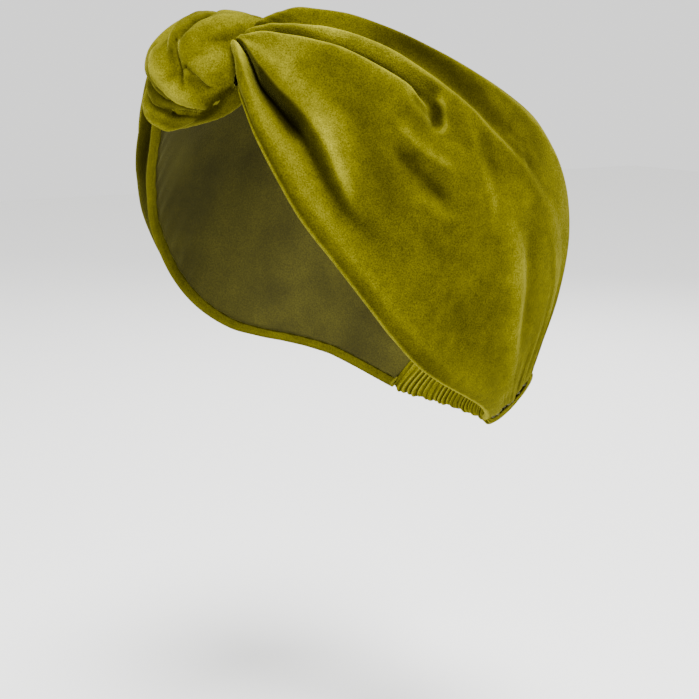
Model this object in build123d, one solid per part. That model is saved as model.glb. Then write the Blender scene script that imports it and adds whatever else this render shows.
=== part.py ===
from build123d import *
import os
from math import cos, hypot, radians, sin

# Knotted velvet headband, as worn upright: +Z up, the knot towards -Y, the wearer's left towards +X.
# The origin is the centre of the head opening. The band's loop lies in a plane that leans back by
# LOOP_TILT, so the solids are made in the loop's own frame (x across the head, y from the knot to the
# nape, z along the opening's axis) and turned into the row's frame at the end. Sizes are millimetres.

# Driving dimensions: the head that the band is made for, as half sizes along the loop's axes.
LOOP_TILT = 41.0
HEAD_HALF_WIDTH = 79.0
HEAD_HALF_LENGTH = 95.0
HEAD_HALF_HEIGHT = 107.0

# Cloth: a lining against the head, then the padded look of the folded velvet.
LINING_GAP = 0.3
LINING_WALL = 0.7
LINING_INSET = 1.2
LINING_CROWN_SHARE = 0.9
PANEL_GAP = 1.4
PANEL_WALL = 3.0

# Side panel sections from the knot to the nape. Turn is the angle round the head from the knot, front
# and rear are the two edges' heights in degrees, the lifts are how far the left and the right cloth
# stand off the head, and crown is how far the cloth's middle bulges beyond its edges. The knot holds
# both sides off the forehead, and the right one further round; droop is how much lower the right one's
# front edge hangs.
# turn, front, rear, left lift, right lift, right droop, crown
PANEL_SECTIONS = (
    (18.0, -1.0, 19.5, 19.0, 19.0, 0.0, 8.0),
    (23.0, -3.0, 22.5, 16.0, 17.0, 0.0, 8.0),
    (29.0, -6.5, 25.5, 12.5, 15.0, 0.0, 8.0),
    (37.0, -10.5, 29.0, 8.5, 13.0, 0.3, 7.5),
    (48.0, -14.5, 33.0, 4.5, 13.5, 1.0, 7.0),
    (60.0, -18.0, 36.5, 2.0, 15.5, 2.5, 6.5),
    (72.0, -21.0, 39.0, 0.7, 15.5, 4.0, 5.5),
    (84.0, -23.2, 40.5, 0.0, 13.0, 4.5, 4.5),
    (95.0, -24.0, 38.5, 0.0, 9.0, 4.0, 4.0),
    (104.0, -23.2, 34.0, 0.0, 5.0, 2.8, 3.5),
    (112.0, -22.0, 26.0, 0.0, 2.3, 1.5, 3.5),
    (120.0, -20.5, 13.0, 0.0, 0.7, 0.5, 3.0),
    (128.0, -19.2, 2.0, 0.0, 0.0, 0.0, 2.5),
    (138.0, -18.3, -2.5, 0.0, 0.0, 0.0, 1.5),
    (149.5, -18.0, -3.0, 0.0, 0.0, 0.0, 1.0),
)
SECTION_POINTS = 7

# Knot: a barrel of wrapped velvet round the gathered panel ends, its mouths facing left and right.
KNOT_HALF_LENGTH = 26.0
KNOT_MID_HALF_DEPTH = 19.5
KNOT_MID_HALF_HEIGHT = 28.0
KNOT_MOUTH_HALF_DEPTH = 13.0
KNOT_MOUTH_HALF_HEIGHT = 21.5
KNOT_MID_HEIGHT = 4.0
KNOT_MOUTH_HEIGHT = 16.0
KNOT_BACK = HEAD_HALF_LENGTH + 0.6
WRAP_WALL = 3.6
CORE_GAP = 0.3
KNOT_SECTIONS = 9

# Nape: flat elastic inside a ruched velvet tube.
CASING_END_TURN = 150.4
ELASTIC_END_TURN = 151.0
NAPE_END_RISE = -10.5
NAPE_MID_RISE = -6.5
NAPE_GROW = 4.4
CASING_HALF_WIDTH = 16.5
CASING_HALF_DEPTH = 4.0
CASING_WALL = 1.5
ELASTIC_WIDTH = 25.0
ELASTIC_THICKNESS = 1.2
NAPE_SECTIONS = 7

# Thread: short stitches that lie on the cloth.
THREAD_RADIUS = 0.35
STITCH_LENGTH = 2.6
STITCH_CLEARANCE = 0.35
SEAM_TURN = 147.5
SEAM_STITCHES = 7
TACKING_STITCHES = 8


def outward(turn):
    """Unit vector in the loop's plane that points away from the opening's axis at this turn."""
    x = HEAD_HALF_WIDTH * sin(radians(turn))
    y = -HEAD_HALF_LENGTH * cos(radians(turn))
    return Vector(x, y, 0).normalized()


def head_radius(turn):
    return hypot(HEAD_HALF_WIDTH * sin(radians(turn)), HEAD_HALF_LENGTH * cos(radians(turn)))


def head_point(turn, rise, grow):
    """Point that stands `grow` off the head, `rise` degrees above the loop's plane."""
    level = outward(turn) * ((head_radius(turn) + grow) * cos(radians(rise)))
    return level + Vector(0, 0, (HEAD_HALF_HEIGHT + grow) * sin(radians(rise)))


def section_plane(turn, rise, grow):
    """Plane across the band, its x axis outward and its y axis along the opening's axis."""
    out = outward(turn)
    return Plane(origin=head_point(turn, rise, grow), x_dir=out, z_dir=out.cross(Vector(0, 0, 1)))


def cloth_section(turn, front, rear, inner, wall, crown):
    """Closed section of a curved cloth wall with two rounded edges."""
    steps = [i / (SECTION_POINTS - 1) for i in range(SECTION_POINTS)]
    rises = [front + (rear - front) * v for v in steps]
    bulge = [4 * crown * v * (1 - v) for v in steps]
    inside = [head_point(turn, r, inner + b) for r, b in zip(rises, bulge)]
    outside = [head_point(turn, r, inner + wall + b) for r, b in zip(rises, bulge)]
    tip = wall / 2 / radians(HEAD_HALF_HEIGHT)
    front_tip = head_point(turn, front - tip, inner + wall / 2)
    rear_tip = head_point(turn, rear + tip, inner + wall / 2)
    return Face(
        Wire(
            [
                Spline(*inside),
                ThreePointArc(inside[-1], rear_tip, outside[-1]),
                Spline(*reversed(outside)),
                ThreePointArc(outside[0], front_tip, inside[0]),
            ]
        )
    )


def side_cloth(side, gap, wall, inset, crown_share):
    """One side's cloth wall along all the panel's sections, on the wearer's left."""
    sections = []
    for turn, front, rear, left_lift, right_lift, right_droop, crown in PANEL_SECTIONS:
        lift, droop = (left_lift, 0.0) if side == "left" else (right_lift, right_droop)
        low, high = front - droop + inset, rear - inset
        sections.append(cloth_section(turn, low, high, gap + lift, wall, crown * crown_share))
    return loft(sections)


def knot_share(x):
    """One at the knot's middle and nought at its mouths."""
    return 1 - (x / KNOT_HALF_LENGTH) ** 2


def between(mouth, middle, share):
    return mouth + (middle - mouth) * share


def knot_section(x, shrink):
    """Oval section of the knot at x, made smaller all round by `shrink`."""
    share = knot_share(x)
    half_depth = between(KNOT_MOUTH_HALF_DEPTH, KNOT_MID_HALF_DEPTH, share)
    half_height = between(KNOT_MOUTH_HALF_HEIGHT, KNOT_MID_HALF_HEIGHT, share)
    height = between(KNOT_MOUTH_HEIGHT, KNOT_MID_HEIGHT, share)
    centre = Vector(x, -KNOT_BACK - half_depth, height)
    plane = Plane(origin=centre, x_dir=(0, 1, 0), z_dir=(1, 0, 0))
    return plane * Ellipse(half_depth - shrink, half_height - shrink)


def barrel(half_length, shrink):
    step = 2 * half_length / (KNOT_SECTIONS - 1)
    return loft([knot_section(-half_length + i * step, shrink) for i in range(KNOT_SECTIONS)])


def knot_wrap():
    return barrel(KNOT_HALF_LENGTH, 0) - barrel(KNOT_HALF_LENGTH + 1, WRAP_WALL)


def knot_core():
    return barrel(KNOT_HALF_LENGTH - 0.5, WRAP_WALL + CORE_GAP)


def nape_planes(end_turn):
    """Section planes round the nape, which arches up from its two ends to its middle."""
    step = (360 - 2 * end_turn) / (NAPE_SECTIONS - 1)
    planes = []
    for i in range(NAPE_SECTIONS):
        turn = end_turn + i * step
        share = ((turn - 180) / (180 - CASING_END_TURN)) ** 2
        planes.append(section_plane(turn, between(NAPE_MID_RISE, NAPE_END_RISE, share), NAPE_GROW))
    return planes


def casing_tube(half_depth, half_width, end_turn):
    return loft([plane * Ellipse(half_depth, half_width) for plane in nape_planes(end_turn)])


def elastic_casing():
    bore = casing_tube(
        CASING_HALF_DEPTH - CASING_WALL, CASING_HALF_WIDTH - CASING_WALL, CASING_END_TURN - 0.5
    )
    return casing_tube(CASING_HALF_DEPTH, CASING_HALF_WIDTH, CASING_END_TURN) - bore


def elastic():
    flat = Rectangle(ELASTIC_THICKNESS, ELASTIC_WIDTH)
    return loft([plane * flat for plane in nape_planes(ELASTIC_END_TURN)])


def stitch(middle, along):
    """One stitch of thread, a short rod with round ends, that lies along a direction."""
    rod_length = STITCH_LENGTH - 2 * THREAD_RADIUS
    rod = Cylinder(THREAD_RADIUS, rod_length)
    ends = [Pos(0, 0, side * rod_length / 2) * Sphere(THREAD_RADIUS) for side in (-1, 1)]
    return Plane(origin=middle, z_dir=along).location * (rod + ends)


def back_seam():
    """Stitches across the panel's narrow end, where it closes over the casing."""
    _, front, rear, _, _, _, crown = PANEL_SECTIONS[-1]
    stand_off = PANEL_GAP + PANEL_WALL + STITCH_CLEARANCE + THREAD_RADIUS
    made = []
    for i in range(SEAM_STITCHES):
        v = (i + 0.5) / SEAM_STITCHES
        rise = front + (rear - front) * v
        grow = stand_off + 4 * crown * v * (1 - v)
        middle = head_point(SEAM_TURN, rise, grow)
        along = head_point(SEAM_TURN, rise + 1, grow) - head_point(SEAM_TURN, rise - 1, grow)
        made.append(stitch(middle, along))
    return Compound(children=made)


def knot_tacking():
    """Stitches along the back of the wrap, on the side that lies on the head."""
    made = []
    for i in range(TACKING_STITCHES):
        x = (i - (TACKING_STITCHES - 1) / 2) * 1.6 * STITCH_LENGTH
        height = between(KNOT_MOUTH_HEIGHT, KNOT_MID_HEIGHT, knot_share(x))
        middle = Vector(x, -KNOT_BACK + THREAD_RADIUS + STITCH_CLEARANCE, height)
        made.append(stitch(middle, Vector(1, 0, 0)))
    return Compound(children=made)


def write(name, shape):
    """Turns a solid from the loop's frame into the row's frame and saves it as its own sub-part."""
    export_step(shape.rotate(Axis.X, -LOOP_TILT), f"parts/{name}.step")


def write_right(name, shape):
    """Saves a solid made on the wearer's left as its mirror image on the right."""
    write(name, mirror(shape, about=Plane.YZ))


os.makedirs("parts", exist_ok=True)
write("left_outer_panel", side_cloth("left", PANEL_GAP, PANEL_WALL, 0, 1))
write("left_lining", side_cloth("left", LINING_GAP, LINING_WALL, LINING_INSET, LINING_CROWN_SHARE))
write("left_back_seam", back_seam())
write_right("right_outer_panel", side_cloth("right", PANEL_GAP, PANEL_WALL, 0, 1))
write_right("right_lining", side_cloth("right", LINING_GAP, LINING_WALL, LINING_INSET, LINING_CROWN_SHARE))
write_right("right_back_seam", back_seam())
write("knot_wrap", knot_wrap())
write("knot_core", knot_core())
write("knot_tacking", knot_tacking())
write("elastic_casing", elastic_casing())
write("elastic", elastic())
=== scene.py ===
import bpy
import numpy as np
from mathutils import Matrix, Vector


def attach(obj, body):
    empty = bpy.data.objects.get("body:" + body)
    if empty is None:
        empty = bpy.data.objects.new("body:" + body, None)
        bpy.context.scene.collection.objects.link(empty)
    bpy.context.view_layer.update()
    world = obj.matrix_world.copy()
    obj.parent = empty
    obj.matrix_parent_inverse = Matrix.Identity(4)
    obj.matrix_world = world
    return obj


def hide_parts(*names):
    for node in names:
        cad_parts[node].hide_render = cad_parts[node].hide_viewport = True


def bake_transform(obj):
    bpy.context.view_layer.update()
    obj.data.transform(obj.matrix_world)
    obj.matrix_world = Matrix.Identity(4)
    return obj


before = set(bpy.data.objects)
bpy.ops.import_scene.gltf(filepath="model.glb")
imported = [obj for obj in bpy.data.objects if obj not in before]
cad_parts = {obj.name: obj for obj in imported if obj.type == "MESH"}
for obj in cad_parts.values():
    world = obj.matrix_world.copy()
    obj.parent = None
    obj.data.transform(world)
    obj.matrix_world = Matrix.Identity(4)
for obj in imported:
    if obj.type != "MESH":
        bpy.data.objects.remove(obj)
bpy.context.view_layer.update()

# The knotted headband's looks. The cloth is built in the loop's own frame in millimetres: x across the
# head, y from the knot to the nape, z along the opening's axis. to_row() turns it into the frame's metres.
MM = 0.001
LOOP_TILT = np.radians(41.0)
HEAD_X, HEAD_Y, HEAD_Z = 79.0, 95.0, 107.0


# ---------------------------------------------------------------- shapes shared by all the pieces
def head_point(turn, rise, grow):
    """Points `grow` off the head: turn is the angle from the knot, rise the height over the loop's plane."""
    turn, rise = np.radians(turn), np.radians(rise)
    x, y = HEAD_X * np.sin(turn), -HEAD_Y * np.cos(turn)
    radius = np.hypot(x, y)
    level = (radius + grow) * np.cos(rise) / radius
    return np.stack([x * level, y * level, (HEAD_Z + grow) * np.sin(rise)], -1)


def to_row(points):
    """Loop frame in millimetres to row frame in metres."""
    x, y, z = points[..., 0], points[..., 1], points[..., 2]
    c, s = np.cos(LOOP_TILT), np.sin(LOOP_TILT)
    return np.stack([x, y * c + z * s, z * c - y * s], -1) * MM


def monotone(xs, ys, at):
    """Smooth curve through points that never runs past them."""
    xs, ys = np.asarray(xs, float), np.asarray(ys, float)
    step = np.diff(xs)
    rate = np.diff(ys) / step
    slope = np.zeros(len(xs))
    slope[0], slope[-1] = rate[0], rate[-1]
    for i in range(1, len(xs) - 1):
        if rate[i - 1] * rate[i] > 0:
            a, b = 2 * step[i] + step[i - 1], step[i] + 2 * step[i - 1]
            slope[i] = (a + b) / (a / rate[i - 1] + b / rate[i])
    i = np.clip(np.searchsorted(xs, at) - 1, 0, len(xs) - 2)
    t = np.clip((at - xs[i]) / step[i], 0, 1)
    rise = t * t * (3 - 2 * t)
    return (
        ys[i] * (1 - rise)
        + ys[i + 1] * rise
        + step[i] * (slope[i] * t * (1 - t) ** 2 - slope[i + 1] * t * t * (1 - t))
    )


def ease(low, high, at):
    t = np.clip((at - low) / (high - low), 0, 1)
    return t * t * (3 - 2 * t)


def grid_normals(points):
    along = np.gradient(points, axis=0)
    across = np.gradient(points, axis=1)
    normal = np.cross(along, across)
    return normal / np.maximum(np.linalg.norm(normal, axis=-1, keepdims=True), 1e-9)


def soften(values, reach, axis):
    """Running average with bell weights along one axis of a grid."""
    reach = max(1, int(reach))
    weights = np.exp(-np.linspace(-2, 2, 2 * reach + 1) ** 2)
    padding = [(0, 0), (0, 0)]
    padding[axis] = (reach, reach)
    padded = np.pad(values, padding, mode="edge")
    size = values.shape[axis]
    total = sum(w * np.take(padded, range(i, i + size), axis=axis) for i, w in enumerate(weights))
    return total / weights.sum()


def paint_shading(piece, painted_shading):
    """Stores the painted shading at each point: 0 is painted shade, as in a fold, 1 a painted highlight, as
    on a crest.
    """
    layer = piece.data.attributes.new("painted_shading", "FLOAT", "POINT")
    layer.data.foreach_set("value", np.clip(np.concatenate([painted_shading.ravel()] * 2), 0, 1).astype(np.float32))


def cloth_from_grid(name, face, wall, closed=False):
    """A sheet with two faces: `face` is the grid of the right side, and the wrong side lies `wall` behind it.
    Closed means that the grid's second direction runs round a tube and joins up."""
    if closed:
        wrapped = np.concatenate([face[:, -2:], face, face[:, :2]], axis=1)
        normal = grid_normals(wrapped)[:, 2:-2]
    else:
        normal = grid_normals(face)
    behind = face - normal * wall
    rows, columns = face.shape[:2]
    count = rows * columns
    points = to_row(np.concatenate([face.reshape(-1, 3), behind.reshape(-1, 3)]))
    index = np.arange(count).reshape(rows, columns)
    loop = np.concatenate([index, index[:, :1]], axis=1) if closed else index
    a, b, c, d = loop[:-1, :-1], loop[1:, :-1], loop[1:, 1:], loop[:-1, 1:]
    quads = [np.stack([a, b, c, d], -1).reshape(-1, 4)]
    quads.append(np.stack([d, c, b, a], -1).reshape(-1, 4) + count)
    rims = [(loop[0], True), (loop[-1], False)]
    if not closed:
        rims += [(index[:, 0], False), (index[:, -1], True)]
    for rim, turned in rims:
        first, second = rim[:-1], rim[1:]
        strip = np.stack([first, second, second + count, first + count], -1)
        quads.append(strip if turned else strip[:, ::-1])
    return mesh_piece(name, points, np.concatenate(quads))


def mesh_piece(name, points, faces):
    mesh = bpy.data.meshes.new(name)
    mesh.from_pydata([tuple(p) for p in points], [], [tuple(int(i) for i in f) for f in faces])
    mesh.validate()
    mesh.polygons.foreach_set("use_smooth", [True] * len(mesh.polygons))
    piece = bpy.data.objects.new(name, mesh)
    bpy.context.scene.collection.objects.link(piece)
    return piece


def near_path(points, first, second, scale):
    """For a grid of two coordinates and a path of such pairs: millimetres to the path, below nought on its
    left, and how far along it from 0 to 1. The scale makes the coordinates millimetres."""
    here = np.stack([first, second], -1) * scale
    path = np.array(points, float) * scale
    lengths = np.linalg.norm(np.diff(path, axis=0), axis=1)
    best, along, done = np.full(first.shape, 1e9), np.zeros(first.shape), 0.0
    for start, end, length in zip(path[:-1], path[1:], lengths):
        run, rest = end - start, here - start
        t = np.clip((rest @ run) / length**2, 0, 1)
        away = np.linalg.norm(rest - t[..., None] * run, axis=-1)
        side = np.where(run[1] * rest[..., 0] > run[0] * rest[..., 1], 1, -1)
        nearer = away < np.abs(best)
        along = np.where(nearer, (done + t * length) / lengths.sum(), along)
        best = np.where(nearer, away * side, best)
        done += length
    return best, along


def stroke(points, first, second, scale, wide, fade=0.25):
    """1 along a path, falling away beside it and fading out towards its two ends."""
    away, along = near_path(points, first, second, scale)
    ends = ease(-0.05, fade, along) * ease(-0.05, fade, 1 - along)
    return np.exp(-((away / wide) ** 2)) * ends


# ---------------------------------------------------------------- side panels
# Millimetres per degree of turn and of rise.
HEAD_SCALE = np.radians([90.0, HEAD_Z])
# Edges of the cloth by turn: (turn, front rise, rear rise, left lift off the head, right lift, right droop),
# where droop is how much lower the right side's front edge hangs.
EDGES = np.array(
    [
        (9.0, 4.0, 14.0, 20.0, 20.0, 0.0),
        (14.0, 2.0, 16.5, 20.0, 20.0, 0.0),
        (18.0, 0.3, 19.0, 19.0, 19.0, 0.0),
        (23.0, -1.9, 22.0, 16.0, 17.5, 0.0),
        (29.0, -5.6, 25.5, 12.5, 15.5, 0.0),
        (37.0, -9.9, 29.0, 8.5, 13.5, 0.3),
        (48.0, -14.9, 33.0, 4.5, 14.0, 1.0),
        (60.0, -18.2, 36.5, 2.0, 16.0, 2.6),
        (72.0, -21.0, 39.0, 0.7, 16.0, 4.0),
        (84.0, -23.2, 40.5, 0.0, 13.4, 4.6),
        (95.0, -24.0, 38.5, 0.0, 9.2, 4.0),
        (104.0, -23.2, 34.0, 0.0, 5.0, 2.8),
        (112.0, -21.8, 26.0, 0.0, 2.3, 1.5),
        (120.0, -20.3, 13.0, 0.0, 0.7, 0.5),
        (128.0, -19.0, 2.0, 0.0, 0.0, 0.0),
        (138.0, -18.1, -2.5, 0.0, 0.0, 0.0),
        (151.0, -17.6, -3.0, 0.0, 0.0, 0.0),
    ]
)
PANEL_START, PANEL_END = 9.0, 150.6
PANEL_ROWS, PANEL_COLUMNS = 236, 150
PANEL_WALL = 1.3
SKIN_GROW = 4.2
HEM_GROW = 1.2
HEM_WIDTH = 8.0
HEM_COLUMNS, ROLL_COLUMNS = 5, 9

# Folds run from the knot towards the nape. Each is a line of (turn, place across, height in mm), and on
# the left also the lean to the rear in mm. Place across is 0 at the front edge and 1 at the rear one, and
# the cloth is smooth between the lines.
LEFT_FOLDS = {
    "front turn": [
        (9, 0.05, 2.4, 0), (16, 0.12, 5.4, 0), (18, 0.11, 6.2, 0.2), (20, 0.085, 6.4, 0.2),
        (23, 0.06, 5.6, 0.2),
        (27, 0.04, 3.6, 0), (31, 0.035, 2.5, 0), (40, 0.03, 2, 0), (80, 0.025, 1.6, 0), (110, 0.03, 1.4, 0),
        (130, 0.07, 1, 0), (151, 0.08, 0.6, 0),
    ],
    "front roll": [
        (9, 0.12, 4, 0), (16, 0.27, 8, 0.4), (18, 0.245, 8.5, 0.9), (20, 0.19, 8.5, 0.9),
        (23, 0.13, 7.5, 0.8),
        (27, 0.085, 5, 0.4), (31, 0.075, 3.6, 0), (40, 0.07, 3, 0), (55, 0.06, 2.8, 0), (80, 0.05, 2.6, 0),
        (110, 0.06, 2.4, 0),
        (130, 0.14, 1.8, 0), (151, 0.16, 1.2, 0),
    ],
    "front valley": [
        (9, 0.24, 0, 0), (16, 0.315, 0.5, -0.2), (18, 0.295, -1, -0.4), (20, 0.25, -1.8, -0.5),
        (24, 0.19, -2, -0.5),
        (30, 0.203, -1.6, 0), (36, 0.208, -1.2, 0), (44, 0.175, -0.5, 0), (52, 0.143, 0.8, 0),
        (60, 0.135, 2, 0),
        (80, 0.13, 2.8, 0), (110, 0.16, 2.4, 0), (130, 0.28, 1.4, 0), (151, 0.32, 0.6, 0),
    ],
    "shoulder": [
        (9, 0.30, 3, 0), (16, 0.345, 5.5, 0), (20, 0.32, 6.5, -0.4), (24, 0.29, 7.5, -0.6),
        (30, 0.292, 8.8, -0.8),
        (36, 0.31, 9.2, -0.8), (44, 0.292, 8.8, -0.6), (52, 0.228, 7, -0.3), (57, 0.19, 4.6, 0),
        (64, 0.22, 4, 0),
        (80, 0.28, 4.2, 0), (110, 0.34, 3.4, 0), (130, 0.44, 2.4, 0), (151, 0.46, 1.6, 0),
    ],
    "lobe middle": [
        (9, 0.36, 3, 0), (16, 0.36, 6, 0), (20, 0.385, 6.6, 0), (24, 0.39, 7.2, 0), (30, 0.41, 7.6, 0),
        (36, 0.44, 7.4, 0), (44, 0.44, 6.6, 0), (54, 0.43, 5.4, 0), (64, 0.44, 4.9, 0), (80, 0.44, 4.8, 0),
        (110, 0.47, 3.6, 0), (130, 0.55, 1.6, 0), (151, 0.56, 0.8, 0),
    ],
    "lobe crest": [
        (9, 0.39, 3, 0), (16, 0.385, 6.4, 0.3), (20, 0.446, 8.6, 0.9), (24, 0.49, 10, 1.4),
        (30, 0.554, 11, 2),
        (36, 0.607, 11, 2.4), (44, 0.632, 10.6, 2.4), (50, 0.648, 9.6, 2), (55, 0.655, 7.6, 1),
        (60, 0.61, 5.4, 0.2),
        (66, 0.57, 5, 0), (80, 0.57, 4.8, 0), (110, 0.58, 3.6, 0), (130, 0.64, 2.2, 0), (151, 0.65, 1.4, 0),
    ],
    "gap": [
        (9, 0.44, 2, 0), (16, 0.44, 4.6, 0), (20, 0.50, 4.2, -0.2), (24, 0.552, 3, 0), (30, 0.625, 1, 0.4),
        (36, 0.674, 0, 1), (44, 0.694, -0.4, 1.6), (50, 0.705, -0.6, 1.6), (55, 0.695, 0.8, 1.2),
        (60, 0.665, 3, 0.6),
        (66, 0.62, 4.4, 0), (80, 0.64, 4.6, 0), (110, 0.65, 3.6, 0), (130, 0.72, 1.4, 0),
        (151, 0.73, 0.6, 0),
    ],
    "ridge front": [
        (9, 0.47, 2, 0), (16, 0.472, 5.4, 0), (20, 0.53, 6, 0), (24, 0.59, 5.6, 0), (30, 0.664, 5, 0.2),
        (36, 0.71, 4.8, 0.6), (44, 0.73, 4.6, 1), (50, 0.735, 3.6, 1), (55, 0.728, 3.6, 1),
        (60, 0.70, 5, 0.4),
        (66, 0.68, 5.6, 0), (80, 0.68, 5, 0), (110, 0.69, 3.8, 0), (130, 0.76, 1.6, 0), (151, 0.77, 0.8, 0),
    ],
    "rear ridge": [
        (9, 0.50, 2, 0), (16, 0.505, 6.2, 0.2), (20, 0.571, 7.6, 0.4), (24, 0.639, 8.4, 0.6),
        (30, 0.72, 8.6, 0.6),
        (36, 0.761, 8.6, 0.6), (44, 0.776, 8.4, 0.6), (52, 0.769, 7.8, 0.6), (60, 0.755, 7.2, 0.6),
        (66, 0.745, 6.8, 0.6),
        (72, 0.728, 6.4, 0.5), (82, 0.718, 5.6, 0.4), (92, 0.714, 4.8, 0), (110, 0.74, 3.4, 0),
        (130, 0.81, 2, 0),
        (151, 0.82, 1.2, 0),
    ],
    "rear valley": [
        (9, 0.56, 1, 0), (16, 0.57, 3.4, 0), (20, 0.66, 3.6, 0), (24, 0.715, 4.2, 0), (30, 0.775, 4.8, 0),
        (36, 0.805, 5.2, 0), (44, 0.818, 5.2, 0), (52, 0.81, 5, 0), (60, 0.795, 4.8, 0),
        (72, 0.768, 4.5, 0),
        (82, 0.755, 4.2, 0), (92, 0.76, 4, 0), (110, 0.81, 2.9, 0), (130, 0.88, 1.2, 0),
        (151, 0.89, 0.6, 0),
    ],
    "top ridge": [
        (9, 0.64, 1.6, 0), (16, 0.665, 6, 0), (18, 0.735, 6.4, 0.3), (20, 0.82, 6.4, 0.3),
        (24, 0.875, 6.2, 0),
        (30, 0.915, 5.8, 0), (44, 0.93, 5.4, 0), (60, 0.925, 5, 0), (82, 0.91, 4.4, 0), (110, 0.92, 3, 0),
        (130, 0.945, 1.6, 0), (151, 0.95, 1, 0),
    ],
}
RIGHT_FOLDS = {
    "front roll": [
        (9, 0.12, 3.0), (16, 0.16, 7.0), (22, 0.11, 8.0), (30, 0.075, 8.5), (40, 0.065, 8.5),
        (52, 0.06, 8.0),
        (62, 0.055, 7.0), (76, 0.05, 4.5), (95, 0.05, 2.8), (130, 0.14, 1.8), (151, 0.16, 1.2),
    ],
    "front valley": [
        (9, 0.2, 1.0), (16, 0.22, 4.0), (22, 0.17, 6.0), (30, 0.12, 7.2), (40, 0.11, 8.0), (52, 0.10, 8.4),
        (62, 0.095, 7.2), (76, 0.1, 4.4), (95, 0.12, 2.8), (130, 0.26, 1.2), (151, 0.3, 0.6),
    ],
    "outer roll": [
        (9, 0.3, 2.0), (16, 0.3, 7.0), (22, 0.26, 11.0), (30, 0.22, 13.5), (40, 0.20, 14.5),
        (52, 0.19, 14.0),
        (62, 0.19, 12.0), (76, 0.2, 7.5), (95, 0.24, 4.2), (130, 0.4, 2.4), (151, 0.44, 1.6),
    ],
    "middle valley": [
        (9, 0.4, 1.0), (16, 0.42, 3.0), (22, 0.40, 4.0), (30, 0.37, 5.0), (40, 0.36, 6.0), (52, 0.36, 6.6),
        (62, 0.36, 6.4), (76, 0.36, 5.2), (95, 0.38, 3.8), (130, 0.5, 1.2), (151, 0.54, 0.8),
    ],
    "middle lobe": [
        (9, 0.5, 2.5), (16, 0.52, 7.0), (22, 0.53, 9.0), (30, 0.54, 9.6), (40, 0.55, 9.2), (52, 0.55, 8.2),
        (62, 0.56, 7.2), (76, 0.57, 5.8), (95, 0.58, 4.6), (130, 0.64, 2.2), (151, 0.66, 1.4),
    ],
    "gap": [
        (9, 0.6, 1.0), (16, 0.6, 3.0), (22, 0.615, 1.5), (30, 0.64, 0.0), (40, 0.66, 0.4), (52, 0.67, 2.0),
        (62, 0.68, 3.6), (76, 0.68, 4.2), (95, 0.68, 3.8), (130, 0.72, 1.4), (151, 0.74, 0.8),
    ],
    "rear ridge": [
        (9, 0.68, 2.0), (16, 0.68, 6.0), (22, 0.71, 7.4), (30, 0.75, 7.4), (40, 0.78, 7.2),
        (52, 0.785, 6.8),
        (62, 0.78, 6.2), (76, 0.775, 5.4), (95, 0.775, 4.2), (130, 0.81, 2.0), (151, 0.82, 1.2),
    ],
    "rear valley": [
        (9, 0.76, 1.0), (16, 0.76, 4.0), (22, 0.79, 4.0), (30, 0.835, 4.0), (40, 0.86, 4.2),
        (52, 0.865, 4.2),
        (62, 0.86, 4.2), (76, 0.85, 4.0), (95, 0.85, 3.2), (130, 0.88, 1.2), (151, 0.89, 0.6),
    ],
    "top ridge": [
        (9, 0.84, 1.0), (16, 0.86, 5.0), (22, 0.88, 5.8), (30, 0.92, 5.4), (40, 0.935, 5.0),
        (52, 0.935, 4.6),
        (62, 0.93, 4.2), (76, 0.93, 3.8), (95, 0.93, 3.0), (130, 0.945, 1.6), (151, 0.95, 1.0),
    ],
}
# Soft dents and swellings on top of the folds: (path of (turn, rise), height in mm, half width in mm).
LEFT_STROKES = [
    ([(52, 16), (56, 17), (59.5, 16.8), (62, 14.5)], -3.2, 2.8),
    ([(56, 20.8), (60, 19.8), (62.8, 17), (63.6, 14)], 1.5, 1.7),
    ([(53, 10.4), (57, 9.6), (61, 9.3), (66, 9.5), (71, 11)], 1.5, 2.6),
    ([(53.5, 7.6), (58, 5.8), (64, 5.2), (70, 4.6), (74, 4)], -1.2, 3.0),
    ([(61, 23), (65, 21.6), (69.5, 19.5), (73, 17), (77, 14.6), (82, 11.5), (88, 6)], 0.6, 2.2),
    ([(76, 26.4), (82, 26), (86, 23)], 0.5, 1.8),
    ([(88, 12), (95, 8), (103, 1), (112, -6), (124, -12), (136, -14)], 1.5, 3.6),
    ([(92, 18), (99, 10), (107, 2), (116, -6)], -0.8, 4.0),
    ([(68, -3), (76, -5), (84, -6)], -1.2, 5.0),
    ([(66, 1), (73, 1.5), (78, 3)], 0.9, 3.0),
    ([(85, -8), (92, -12), (99, -15)], -0.8, 4.0),
]
RIGHT_STROKES = [
    ([(60, 20), (72, 12), (84, 8)], 1.5, 4.0),
    ([(78, 25), (92, 14), (104, 2), (118, -10)], 1.2, 4.0),
    ([(64, 0), (76, -6)], -1.5, 7.0),
]


def fold_section(folds, turn, across):
    """Height of the cloth over its base and its lean to the rear, both in mm, for one row of the panel."""
    places, heights, leans = [0.0], [0.0], [0.0]
    for line in folds.values():
        points = np.array([(*point, 0.0)[:4] for point in line], float)
        places.append(float(monotone(points[:, 0], points[:, 1], turn)))
        heights.append(float(monotone(points[:, 0], points[:, 2], turn)))
        leans.append(float(monotone(points[:, 0], points[:, 3], turn)))
    ends = places + [1.0]
    return monotone(ends, heights + [0.0], across), monotone(ends, leans + [0.0], across)


def wander(seed, turn, across, scale, count=5):
    """Gentle uneven waves over the cloth, the same each run."""
    draw = np.random.default_rng(seed)
    total = np.zeros(np.broadcast(turn, across).shape)
    for _ in range(count):
        a, b = draw.normal(size=2) * scale
        total = total + np.sin(a * turn + b * across + draw.uniform(0, 2 * np.pi))
    return total / count


def edge_at(turn, column):
    return monotone(EDGES[:, 0], EDGES[:, column], turn)


def front_edge(side, turn):
    return edge_at(turn, 1) - (edge_at(turn, 5) if side == "right" else 0)


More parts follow.
